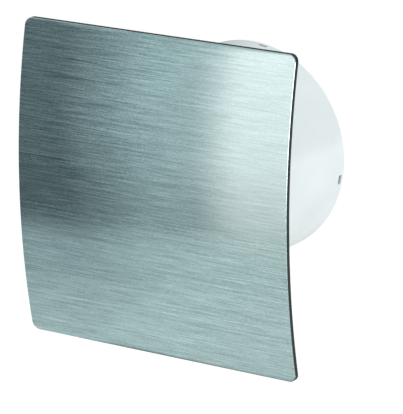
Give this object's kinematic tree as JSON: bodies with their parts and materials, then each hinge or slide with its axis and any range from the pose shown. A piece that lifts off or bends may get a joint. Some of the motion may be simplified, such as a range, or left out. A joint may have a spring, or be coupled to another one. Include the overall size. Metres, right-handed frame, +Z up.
{
  "type": "bathroom extractor fan",
  "caption": "Wall-mounted axial bathroom extractor fan with a bowed brushed steel front panel, a round duct spigot, and a shaded-pole motor and impeller inside.",
  "frame": {"origin": "on the duct's axis, in the plane of the wall that the base frame is screwed to", "axes": "+X to the right seen from the room, +Y out of the room along the duct, +Z up"},
  "size_m": [0.176, 0.106, 0.183],
  "materials": {
    "panel_steel": "stainless sheet brushed along its width, satin, with fine horizontal lines",
    "panel_plastic": "moulded black plastic, fine satin",
    "housing_plastic": "moulded cool white ABS, semi-gloss",
    "bracket_plastic": "moulded grey plastic, semi-gloss",
    "impeller_plastic": "moulded white plastic, semi-gloss",
    "nylon": "natural moulded nylon",
    "zinc_steel": "bright zinc-plated steel",
    "lamination_steel": "stacked electrical steel laminations",
    "copper": "bare copper",
    "enamelled_wire": "wound enamelled copper wire",
    "sintered_bronze": "sintered bronze, oiled",
    "cast_aluminium": "die-cast aluminium",
    "rubber": "soft black rubber",
    "wire_brown": "brown wire insulation",
    "wire_blue": "blue wire insulation"
  },
  "bodies": {
    "housing": {"base_frame": "housing_plastic", "inner_grille": "housing_plastic", "duct_spigot": "housing_plastic", "cable_clamp": "housing_plastic", "motor_bracket": "bracket_plastic", "coil_bobbin": "nylon", "terminal_block": "nylon", "cover_screw_1": "zinc_steel", "cover_screw_2": "zinc_steel", "cover_screw_3": "zinc_steel", "cover_screw_4": "zinc_steel", "spigot_screw_1": "zinc_steel", "spigot_screw_2": "zinc_steel", "spigot_screw_3": "zinc_steel", "spigot_screw_4": "zinc_steel", "terminal_screw_1": "zinc_steel", "terminal_screw_2": "zinc_steel", "terminal_screw_3": "zinc_steel", "terminal_screw_4": "zinc_steel", "terminal_block_screw": "zinc_steel", "cable_clamp_screw_1": "zinc_steel", "cable_clamp_screw_2": "zinc_steel", "motor_bolt_1": "zinc_steel", "motor_bolt_2": "zinc_steel", "motor_nut_1": "zinc_steel", "motor_nut_2": "zinc_steel", "stator_core": "lamination_steel", "shading_ring_1": "copper", "shading_ring_2": "copper", "coil_winding": "enamelled_wire", "bush_front": "sintered_bronze", "bush_rear": "sintered_bronze", "bearing_bracket_front": "cast_aluminium", "bearing_bracket_rear": "cast_aluminium", "motor_mount_1": "rubber", "motor_mount_2": "rubber", "cable_grommet": "rubber", "motor_lead_live": "wire_brown", "motor_lead_neutral": "wire_blue"},
    "front_panel": {"panel_face": "panel_steel", "panel_backing": "panel_plastic", "panel_stud_1": "nylon", "panel_stud_2": "nylon", "panel_stud_3": "nylon", "panel_stud_4": "nylon"},
    "impeller_set": {"impeller": "impeller_plastic", "impeller_nut": "zinc_steel", "motor_shaft": "zinc_steel", "rotor_core": "lamination_steel", "thrust_washer_front": "nylon", "thrust_washer_rear": "nylon"}
  },
  "joints": [
    {"name": "panel_pull", "type": "slide", "parent": "housing", "child": "front_panel", "axis": [0, -1, 0], "range_m": [0, 0.04]},
    {"name": "impeller_spin", "type": "hinge", "parent": "housing", "child": "impeller_set", "pos_m": [0, 0.0125, 0], "axis": [0, 1, 0], "continuous": true}
  ]
}
